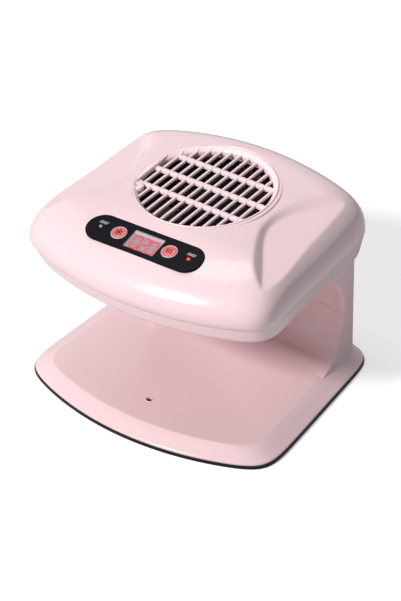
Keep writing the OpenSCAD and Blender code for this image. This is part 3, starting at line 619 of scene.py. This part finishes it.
def rolledRing(inset, angle, share, t):
    insets = [inset + (w - inset) * (1 - math.cos(angle)) for w in roll.values()]
    flat = outline(head, insets, t) * share
    z = level["widest"] + (crown(flat[:, 0], flat[:, 1]) - inset - level["widest"]) * math.sin(angle)
    return np.column_stack([flat, z])


def distanceToHollow(x, y):
    back, front = hollow["back"], hollow["front"]
    corners = [back, front, (-front[0], front[1]), (-back[0], back[1])]
    near = np.full(x.shape, 1e9)
    inside = np.ones(x.shape, bool)
    for k in range(4):
        (ax, ay), (bx, by) = corners[k], corners[(k + 1) % 4]
        ex, ey = bx - ax, by - ay
        u = np.clip(((x - ax) * ex + (y - ay) * ey) / (ex * ex + ey * ey), 0, 1)
        near = np.minimum(near, np.hypot(x - ax - u * ex, y - ay - u * ey))
        inside &= (ex * (y - ay) - ey * (x - ax)) < 0
    return np.where(inside, -near, near) - hollow["r"]


# points with their height in a tilted frame set by depthAt
def sunk(points, frameMatrix, depthAt, mirror):
    m = np.array(frameMatrix)
    p = np.array(points, float)
    sign = np.where(p[:, 0] < 0, -1.0, 1.0) if mirror else np.ones(len(p))
    p[:, 0] *= sign
    local = (p - m[:3, 3]) @ m[:3, :3]
    local[:, 2] = depthAt(local)
    p = local @ m[:3, :3].T + m[:3, 3]
    p[:, 0] *= sign
    return p


def withHollows(points, inset):
    def scallopDepth(q):
        wide = np.hypot(scallop["nose"], scallop["flare"] * q[:, 1])
        slope = scallop["flare"] ** 2 * q[:, 1] / wide
        away = (wide - scallop["nose"] - q[:, 0] + scallop["x"]) / np.hypot(1, slope)
        toBack = softStep(0, scallop["backY"], q[:, 1])
        run = scallop["run"] + (scallop["backRun"] - scallop["run"]) * toBack
        cut = softMax(0, away / run, scallop["floorSoft"]) - inset
        return softMin(q[:, 2], cut, scallop["soft"] + scallop["softGrowth"] * softStep(-1, 5, away))

    def hollowDepth(q):
        away = distanceToHollow(q[:, 0], q[:, 1])
        cut = softMax(0, away, hollow["floorSoft"]) - hollow["deep"] - inset
        return softMin(q[:, 2], cut, hollow["soft"])

    return sunk(sunk(points, scallopFrame, scallopDepth, True), panelFrame, hollowDepth, False)


def topSkin(inset, rolls, shares):
    t = turnAngles(cover["points"])
    flanks = [(level["part"], cover["groove"])]
    flanks += [(z, 0) for z in np.linspace(level["part"] + 0.4, level["widest"], 8)[:-1]]
    rings = []
    for z, groove in flanks:
        share = ((level["widest"] - z) / (level["widest"] - level["part"])) ** 2
        rings.append(ring(head, [inset + groove + share * v for v in cover["belly"]], z, t))
    rings += [rolledRing(inset, a, 1, t) for a in np.linspace(0, math.pi / 2, rolls)]
    rings += [rolledRing(inset, math.pi / 2, s, t) for s in np.linspace(1, 0.02, shares)[1:]]
    rings = [withHollows(r, inset) for r in rings]
    tip = withHollows(np.array([[0, 0, crown(0, 0) - inset]]), inset)[0]
    return skin(rings, None, tuple(tip))


outer = topSkin(0, 56, 110)
inner = topSkin(cover["wall"], 12, 16)
coverPoints, coverFaces = join(outer, (inner[0], [face[::-1] for face in inner[1]]))
count, shift = cover["points"], len(outer[0])
coverFaces += [[k, shift + k, shift + (k + 1) % count, (k + 1) % count] for k in range(count)]
upper = build("headUpperCover", (coverPoints, coverFaces))
grilleHole = [
    (0, -30), (59.3, -30), (59.3, -0.5), (59.4, -0.12), (59.7, 0.15), (60.6, 0.6), (60.8, 12), (0, 12),
]
carve(upper, moved(turned(grilleHole, 256), grilleFrame))
panel = {"length": 107.8, "width": 27.7, "gap": 0.5}
pocket = [(0, -2), (0, -0.6), (-0.4, -0.25), (-0.8, 6)]
pocketSize = panel["length"] + panel["gap"], panel["width"] + panel["gap"]
carve(upper, moved(stadiumPlate(*pocketSize, pocket, 32), panelFrame))
finishPiece(upper, "shell_pink", nodes=("head_upper_cover",), sharp=50)
print("upper cover ready")

# bottom plate and feet
feet = [(-90, -72), (90, -72), (-92, 76), (92, 76)]
baseScrews = [(-98, -62), (98, -62), (-106, 38), (106, 38)]
plateEdge = [
    (0.9, 0.4), (0.35, 0.52), (0.05, 0.9), (0, 1.4), (0, 2.9), (0.1, 3.3), (0.45, 3.55), (1.6, 3.6),
]
footPocket = [(0, -1), (7.3, -1), (7.25, 1.0), (0, 1.0)]
screwPocket = [(0, -1), (3.3, -1), (3.3, 0.55), (3.05, 0.8), (3.05, 2.4), (0, 2.4)]
pockets = [shifted(turned(footPocket, 48), x, y) for x, y in feet]
pockets += [shifted(turned(screwPocket, 40), x, y) for x, y in baseScrews]
bottom = build("bottomPlate", skin([ring(base, (i, i, i), z) for i, z in plateEdge]))
carve(bottom, join(*pockets))
finishPiece(bottom, "plate_black", nodes=("bottom_plate",))
footProfile = [
    (0, 0.25), (1.6, 0.25), (1.9, 0.02), (2.6, 0.02), (2.9, 0.25), (3.7, 0.25), (4.0, 0.02), (4.7, 0.02),
    (5.0, 0.25), (5.5, 0.25), (5.8, 0.0), (6.5, 0.0), (6.85, 0.15), (7, 0.5), (7, 1), (0, 1),
]
footPads = build("footPads", join(*[shifted(turned(footProfile, 48), x, y) for x, y in feet]))
finishPiece(footPads, "foot_rubber", nodes=("foot_pads",))

# pan-head screws with a cross recess, head down at z = 0
screw = {"r": 1.4, "root": 1.15, "pitch": 0.35, "start": 0.4}
screwHead = [
    (0, -1.8), (1.2, -1.77), (2.0, -1.6), (2.5, -1.25), (2.75, -0.75), (2.8, -0.1), (2.7, 0),
    (screw["root"], 0),
]
recess = plate(
    lambda inset: boxLoop(2.9 - 2 * inset, 0.7 - inset, 0.1, 1), [(0, -2.2), (0, -1.6), (0.25, -0.7)],
)


def screwBody(length):
    turns = range(int((length - 1.2) / screw["pitch"]))
    thread = [(screw["r"] if k % 2 else screw["root"], screw["start"] + screw["pitch"] * k) for k in turns]
    return turned(screwHead + thread + [(0.3, length), (0, length)], 32)


def screws(name, node, length, spots):
    obj = build(name, join(*[moved(screwBody(length), m) for m in spots]))
    for arm in (0, 90):
        carve(obj, join(*[moved(shifted(recess, turn=arm), m) for m in spots]))
    finishPiece(obj, "screw_steel", nodes=(node,), sharp=35)


headScrews = [(-97, -60), (97, -60), (-93, 58), (93, 58)]
grilleScrew = {"x": -48, "y": -27, "z": -4.5}
grilleScrewSpot = Matrix.Translation(tuple(grilleScrew.values())) @ Matrix.Rotation(math.pi, 4, "X")
screws("baseScrews", "base_screws", 6, [Matrix.Translation((x, y, 2.4)) for x, y in baseScrews])
screws("headScrews", "head_screws", 18, [Matrix.Translation((x, y, 120)) for x, y in headScrews])
screws("grilleScrew", "grille_screw", 7, [grilleFrame @ grilleScrewSpot])

# hand sensor: raised rim round the hole and a dark lens in it
rimProfile = [
    (2.72, 12.6), (2.72, 13.62), (2.82, 13.8), (2.98, 13.84), (3.14, 13.72), (3.25, 13.52), (3.25, 12.6),
]
sensorRim = build("sensorRim", shifted(turned(rimProfile, 48, True), y=sensor["y"]))
finishPiece(sensorRim, "shell_pink")
lensDome = [
    (sensor["lens"] * math.cos(a), 11.4 + 1.2 * math.sin(a)) for a in np.linspace(0.15, 1.4, 7)
]
lens = [(0, 7.7), (sensor["lens"], 7.7), (sensor["lens"], 11.4)] + lensDome + [(0, 12.6)]
sensorLens = build("sensorLens", shifted(turned(lens, 32), y=sensor["y"]))
finishPiece(sensorLens, "sensor_dark", nodes=("sensor_lens",))
print("underside and sensor ready")

# intake grille: sloping rim, slats that rise over it, and lumpy cross ribs
grille = {"slats": 6, "pitch": 8.57, "width": 2.45, "sink": 2.6, "low": -4.8, "reach": 57.2}
grating = Matrix.Translation((0.1, 0, 0)) @ Matrix.Rotation(math.radians(-2), 4, "Z")
ribs = {"rows": (-21.2, 3.2, 27.2), "drop": 2.6, "half": 2.1, "swell": 0.35, "low": -5.2, "reach": 55.8}
blank = {"r": 58.5, "edge": -52.2, "spread": 27}
boss = {"x": -48.4, "y": -27}
rimStations = [
    (59, -7), (59, -0.55), (58.85, -0.18), (58.5, 0), (58.1, -0.02), (57.6, -0.25), (55.3, -2.5),
    (54.8, -3.0), (54.6, -3.6), (54.6, -7),
]


def coneTop(r):
    return np.interp(r, [54.6, 55.3, 57.6, 58.4], [-3.3, -2.5, -0.25, 0])


def slatBody(x):
    end = math.sqrt(grille["reach"] ** 2 - x * x)
    edge = min(6.0, end * 0.6)
    half = grille["width"] / 2
    low = grille["low"]
    ys = [
        *np.linspace(-end, edge - end, 10)[:-1], *np.linspace(edge - end, end - edge, 13),
        *np.linspace(end - edge, end, 10)[1:],
    ]
    rings = []
    for y in ys:
        top = softMax(-grille["sink"], coneTop(math.hypot(x, y)) + 0.3, 0.5)
        rounded = [(-1, 0.9), (-0.8, 0.35), (-0.4, 0.08), (0, 0), (0.4, 0.08), (0.8, 0.35), (1, 0.9)]
        section = [(-half, low)] + [(half * u, top - drop) for u, drop in rounded] + [(half, low)]
        rings.append(np.array([(x + u, y, z) for u, z in section]))
    return skin(rings)


def ribBody(row):
    end = math.sqrt(ribs["reach"] ** 2 - row * row)
    rings = []
    for x in np.linspace(-end, end, 161):
        lump = math.cos(math.pi * x / grille["pitch"]) ** 2
        half = ribs["half"] + ribs["swell"] * lump
        top = -ribs["drop"] - 0.2 * (1 - lump)
        turns = np.linspace(0, math.pi, 11)
        crest = [(half * math.cos(a), top - 0.7 * (1 - math.sin(a) ** 0.5)) for a in turns]
        section = [(half, ribs["low"])] + crest + [(-half, ribs["low"])]
        rings.append(np.array([(x, row + v, z) for v, z in section]))
    return skin(rings)


def blankLoop(inset):
    spread = np.linspace(180 - blank["spread"], 180 + blank["spread"], 29)
    loop = arc(0, 0, blank["r"] - inset, spread)
    return np.array([(min(x, blank["edge"] - inset), y) for x, y in loop])


slatXs = [side * (k + 0.5) * grille["pitch"] for k in range(grille["slats"]) for side in (-1, 1)]
gratingBody = join(*[slatBody(x) for x in slatXs], *[ribBody(y) for y in ribs["rows"]])
blankBody = plate(blankLoop, [(0, -4.6), (0, -1.3), (0.25, -0.75), (0.6, -0.5)])
bossProfile = [(0, -5.2), (5.2, -5.2), (5.2, -2.0), (5.0, -1.5), (4.4, -1.3), (0, -1.3)]
bossBody = shifted(turned(bossProfile, 40), boss["x"], boss["y"])
rimBody = turned(rimStations, 256, True)
grilleBody = join(rimBody, moved(gratingBody, grating), blankBody, bossBody)
grillePiece = build("intakeGrille", moved(grilleBody, grilleFrame))
screwHole = [(0, -4.5), (3.05, -4.5), (3.05, -3.4), (1.15, -3.2), (1.15, -1.6), (1.5, 1), (0, 1)]
screwHoleBody = shifted(turned(screwHole, 40), grilleScrew["x"], grilleScrew["y"])
carve(grillePiece, moved(screwHoleBody, grilleFrame))
finishPiece(grillePiece, "grille_pink", nodes=("intake_grille",), sharp=45)

# collar under the grille, with the ledge that it rests on
collar = [
    (59.31, -0.75), (61.9, -1.0), (61.9, -12), (59.31, -12), (59.31, -9), (56.35, -9), (56.35, -7.02),
    (59.31, -7.02),
]
finishPiece(build("grilleCollar", moved(turned(collar, 192, True), grilleFrame)), "shell_pink")
print("grille ready")

# control panel
window = {"length": 28.6, "width": 19.5, "radius": 0.7, "gap": 0.4}
button = {"x": 24, "dome": 46.4, "top": 0.9}
lamps = {"x": 41.7, "r": 1.5}
sides = ((-1, "cool"), (1, "hot"))


def onPanel(body, x=0):
    return moved(body, panelFrame @ Matrix.Translation((x, 0, 0)))


fasciaEdge = [(0.1, -2), (0, -1.9), (0, -0.4), (0.08, -0.15), (0.3, 0)]
fascia = build("panelFascia", onPanel(stadiumPlate(panel["length"], panel["width"], fasciaEdge, 40)))
windowHole = [(0, -3), (0, -0.25), (-0.3, 0.1), (-0.3, 1)]
buttonHole = [(0, -3), (6.7, -3), (6.7, -0.15), (6.85, 0.05), (6.85, 1), (0, 1)]
lampHole = [(0, -3), (1.75, -3), (1.75, -0.15), (1.9, 0.05), (1.9, 1), (0, 1)]
holes = [boxPlate(window["length"] + window["gap"], window["width"] + window["gap"], windowHole, 0.8)]
for side, name in sides:
    holes.append(shifted(turned(buttonHole, 64), side * button["x"]))
    holes.append(shifted(turned(lampHole, 32), side * lamps["x"]))
carve(fascia, onPanel(join(*holes)))
finishPiece(fascia, "panel_navy", nodes=("panel_fascia",), sharp=18)

glassEdge = [(0, -1.1), (0, -0.5), (0.12, -0.34), (0.4, -0.3)]
glass = boxPlate(window["length"], window["width"], glassEdge, window["radius"])
finishPiece(build("displayWindow", onPanel(glass)), "window_smoke", nodes=("display_window",))


def slabBody(x0, x1, y0, y1, z0, z1):
    stations = [(0, z0), (0, z1 - 0.08), (0.08, z1)]
    slab = boxPlate(x1 - x0, y1 - y0, stations, 0.2, 1, 3)
    return shifted(slab, (x0 + x1) / 2, (y0 + y1) / 2)


faceX, faceY = window["length"] / 2 - 0.1, window["width"] / 2 - 0.1
displayFace = build("displayFace", onPanel(slabBody(-faceX, faceX, -faceY, faceY, -1.98, -1.55)))
finishPiece(displayFace, "display_dark")
strip = build("displayStrip", onPanel(slabBody(-faceX, faceX, faceY - 3.4, faceY, -1.6, -1.42)))
finishPiece(strip, "ring_pale")

# seven-stroke digits, each stroke a bar with pointed ends
digitForm = {"tall": 13.6, "wide": 6.2, "step": 7.9, "stroke": 1.35, "x": 0.9, "y": -1.6}


def strokeBody(ax, ay, bx, by):
    t = digitForm["stroke"] / 2
    along = np.array([bx - ax, by - ay], float)
    along /= np.linalg.norm(along)
    aside = np.array([-along[1], along[0]])
    a = np.array([ax, ay]) + along * 0.25
    b = np.array([bx, by]) - along * 0.25
    loop = [
        a, a + along * t - aside * t, b - along * t - aside * t,
        b, b - along * t + aside * t, a + along * t + aside * t,
    ]
    return skin([np.array([(q[0], q[1], z) for q in loop]) for z in (-1.6, -1.44)])


def digit(number, x):
    w, h, y = digitForm["wide"] / 2, digitForm["tall"] / 2, digitForm["y"]
    strokes = {
        "a": (-w, h, w, h), "b": (w, h, w, 0), "c": (w, 0, w, -h), "d": (-w, -h, w, -h),
        "e": (-w, 0, -w, -h), "f": (-w, h, -w, 0), "g": (-w, 0, w, 0),
    }
    lit = {0: "abcdef", 2: "abged"}[number]
    ends = [strokes[letter] for letter in lit]
    return [strokeBody(x + ax, y + ay, x + bx, y + by) for ax, ay, bx, by in ends]


digits = []
for place, number in ((-1, 0), (0, 2), (1, 0)):
    digits += digit(number, digitForm["x"] + place * digitForm["step"])
digitPiece = build("displayDigits", onPanel(join(*digits)))
finishPiece(digitPiece, "display_dark")
digitPiece.data.materials[0] = glowing("digitRed", srgb(255, 10, 58), 1.15, srgb(50, 2, 8))


# buttons, with thin marks that follow a path over the dome
def domeZ(x, y):
    rest = max(0, button["dome"] ** 2 - x * x - y * y)
    return button["top"] - (button["dome"] - math.sqrt(rest))


def flatZ(x, y):
    return 0.0


def ribbon(path, width, heightAt):
    path = np.array(path, float)
    way = np.gradient(path, axis=0)
    way /= np.linalg.norm(way, axis=1)[:, None]
    rings = []
    for (x, y), (dx, dy) in zip(path, way):
        left = (x - dy * width / 2, y + dx * width / 2)
        right = (x + dy * width / 2, y - dx * width / 2)
        corners = ((left, -0.3), (right, -0.3), (right, 0.05), (left, 0.05))
        rings.append(np.array([(*spot, heightAt(*spot) + rise) for spot, rise in corners]))
    return skin(rings)


def snowflake(size, width):
    marks = []
    for k in range(6):
        arm = 60 * k + 30
        marks.append(ribbon(np.linspace((0, 0), arc(0, 0, size, [arm])[0], 7), width, domeZ))
        fork = arc(0, 0, size * 0.55, [arm])[0]
        for turn in (-50, 50):
            twig = arc(*fork, size * 0.32, [arm + turn])[0]
            marks.append(ribbon(np.linspace(fork, twig, 4), width * 0.85, domeZ))
    return marks


def heatWaves(size, width):
    marks = []
    for x in (-0.62 * size, 0, 0.62 * size):
        us = np.linspace(0, 1, 15)
        wave = [(x + 0.14 * size * math.sin(u * 2 * math.pi), size * (u * 1.5 - 0.75)) for u in us]
        marks.append(ribbon(wave, width, domeZ))
    return marks


marks = {"cool": snowflake(3.7, 0.62), "hot": heatWaves(3.2, 0.75)}
capProfile = [
    (0, -8.2), (4.6, -8.2), (4.6, -1.0), (5.7, -1.0), (5.8, -0.85), (5.8, 0.1), (5.7, 0.35), (5.45, 0.5),
]
capProfile += [(r, domeZ(r, 0)) for r in (5.0, 4.0, 2.8, 1.4)] + [(0, button["top"])]
for side, name in sides:
    cap = build(name + "Button", onPanel(turned(capProfile, 72), side * button["x"]))
    finishPiece(cap, "button_coral", name + "_key", (name + "_button",))
    mark = build(name + "Mark", onPanel(join(*marks[name]), side * button["x"]))
    finishPiece(mark, "panel_navy", name + "_key")
ringProfile = [
    (5.95, -2), (5.95, 0.18), (6.05, 0.38), (6.25, 0.46), (6.45, 0.42), (6.62, 0.2), (6.65, -2),
]
rings = [onPanel(turned(ringProfile, 72, True), side * button["x"]) for side, name in sides]
finishPiece(build("buttonRings", join(*rings)), "ring_pale", nodes=("button_rings",))

lampDome = [(x, y - 0.6) for x, y in arc(0, 0, lamps["r"], np.degrees(np.linspace(0.2, 1.4, 7)))]
lampProfile = [(0, -13), (1.9, -13), (1.9, -12), (1.5, -11.8), (1.5, -0.6)] + lampDome + [(0, 0.9)]
lampSlots = {"cool": "lamp_clear", "hot": "lamp_red"}
for side, name in sides:
    indicator = build(name + "Lamp", onPanel(turned(lampProfile, 32), side * lamps["x"]))
    finishPiece(indicator, lampSlots[name], nodes=(name + "_lamp",))


# pale marks printed beside the lamps: three small air streams
def airStreams(x, y):
    stream = [(u, 0.28 * math.sin(u * 1.9)) for u in np.linspace(-3.6, 3.6, 25)]
    return [shifted(ribbon(stream, 0.34, flatZ), x + 0.5 * k, y + 0.95 * k) for k in (-1, 0, 1)]


streams = [stream for side, name in sides for stream in airStreams(side * lamps["x"], 4.6)]
finishPiece(build("airMarks", onPanel(join(*streams))), "ring_pale")
print("control panel ready")

# fan: hub cup and swept blades
fan = {"top": -12, "thick": 25, "hubR": 20.5, "bladeRoot": 19.5, "bladeTip": 56.4, "count": 7}
hubTop, hubLow = fan["top"] - 3, fan["top"] - fan["thick"] + 4.2


def bladeBody(spin):
    rings = []
    for s in np.linspace(0, 1, 15):
        r = fan["bladeRoot"] + s * (fan["bladeTip"] - fan["bladeRoot"])
        pitch = math.radians(46 - 20 * s)
        chord = 24 + 11 * s
        thick = 1.9 - 0.7 * s
        sweep = -10 * s
        us = np.linspace(0, 1, 11)
        camber = 0.36 * us * (1 - us) * chord
        half = (4 * thick * us * (1 - us) + 0.25) / 2
        xs = np.concatenate([(us - 0.5) * chord, (us[::-1] - 0.5) * chord])
        zs = np.concatenate([camber - half, (camber + half)[::-1]])
        along = xs * math.cos(pitch) - zs * math.sin(pitch)
        up = xs * math.sin(pitch) + zs * math.cos(pitch)
        a = np.radians(sweep + spin) + along / r
        rings.append(np.column_stack([r * np.cos(a), r * np.sin(a), up + (hubTop + hubLow) / 2]))
    return skin(rings)


cup = [
    (18.9, hubLow), (18.9, hubTop - 2.3), (18.2, hubTop - 1.6), (0.01, hubTop - 1.6), (0.01, hubTop - 0.5),
    (5.6, hubTop - 0.4), (6.2, hubTop), (19.3, hubTop), (20.1, hubTop - 0.35), (fan["hubR"], hubTop - 1.2),
    (fan["hubR"], hubLow),
]
shaft = [(0, -35), (1.3, -35), (1.5, -34.7), (1.5, hubTop - 1.2), (0, hubTop - 1.2)]
blades = [bladeBody(360 * k / fan["count"]) for k in range(fan["count"])]
rotor = build("fanRotor", moved(join(turned(cup, 96, True), turned(shaft, 32), *blades), grilleFrame))
finishPiece(rotor, "fan_black", "fan", ("fan_rotor",), 35)

# warm-air outlet under the head, and the wound heater wire above it
outlet = {"reach": 40.5, "pitch": 7, "ribs": (-14, 14)}
slatSection = [
    (-0.9, 119.7), (-0.9, 118.2), (-0.6, 117.75), (0, 117.6), (0.6, 117.75), (0.9, 118.2), (0.9, 119.7),
]
ribSection = [(-1.2, 119.7), (-1.2, 118.6), (-0.8, 118.15), (0.8, 118.15), (1.2, 118.6), (1.2, 119.7)]
outletProfile = [
    (38.3, 117.9), (38.8, 117.62), (43.8, 117.62), (44, 117.9), (44, 119.8), (38.0, 119.8), (38.0, 118.3),
]
bars = []
for x in [outlet["pitch"] * k for k in range(-5, 6)]:
    end = math.sqrt(outlet["reach"] ** 2 - x * x)
    bars.append(skin([np.array([(x + u, y, z) for u, z in slatSection]) for y in np.linspace(-end, end, 9)]))
for y in outlet["ribs"]:
    end = math.sqrt(outlet["reach"] ** 2 - y * y)
    bars.append(skin([np.array([(x, y + u, z) for u, z in ribSection]) for x in np.linspace(-end, end, 9)]))
outletBody = join(turned(outletProfile, 128, True), *bars)
finishPiece(build("outletGrille", outletBody), "grille_dark", nodes=("outlet_grille",))
coil = {"outer": 36, "step": 9, "count": 3, "z": 132.9, "r": 0.72, "wire": 0.17, "pitch": 1.35, "points": 9}


def woundCoil(radius):
    turns = int(2 * math.pi * radius / coil["pitch"])
    t = np.linspace(0, 1, turns * coil["points"], endpoint=False)
    a, w = 2 * np.pi * t, 2 * np.pi * t * turns
    out = np.column_stack([np.cos(w) * np.cos(a), np.cos(w) * np.sin(a), np.sin(w)])
    reel = radius + coil["r"] * np.cos(w)
    centre = np.column_stack([reel * np.cos(a), reel * np.sin(a), coil["z"] + coil["r"] * np.sin(w)])
    way = np.roll(centre, -1, 0) - np.roll(centre, 1, 0)
    way /= np.linalg.norm(way, axis=1)[:, None]
    side = np.cross(way, out)
    side /= np.linalg.norm(side, axis=1)[:, None]
    quarters = np.radians([45, 135, 225, 315])
    loops = [centre + coil["wire"] * (math.cos(q) * out + math.sin(q) * side) for q in quarters]
    return tube(list(np.stack(loops, 1)))


coils = [woundCoil(coil["outer"] - coil["step"] * k) for k in range(coil["count"])]
finishPiece(build("heaterCoils", join(*coils)), "heater_wire", nodes=("heater_coils",))
print("fan, heater and outlet ready")

# mains inlet at the rear
inlet = {"z": 31, "wallY": 103, "proud": 0.6, "socket": (16.6, 8), "body": (25, 17), "flange": (29, 21)}
inletY = inlet["wallY"] - math.tan(column["lean"]) * inlet["z"] + inlet["proud"]
inletFrame = slopingFrame(inletY, inlet["z"], math.pi / 2)
flange = boxPlate(*inlet["flange"], [(0.7, -1.2), (0.2, -1.0), (0, -0.6), (0, 0.2)], 2.6, 0.5, 8)
inletBody = boxPlate(*inlet["body"], [(0, 0.1), (0, 16)], 1.5, 0, 5)
socket = stadiumPlate(*inlet["socket"], [(-0.6, -2.2), (-0.5, -1.2), (0, -0.8), (0, 10)])
inletShape = build("mainsInlet", moved(join(flange, inletBody), inletFrame))
carve(inletShape, moved(socket, inletFrame))
finishPiece(inletShape, "inlet_black", nodes=("mains_inlet",))
print("inlet ready")
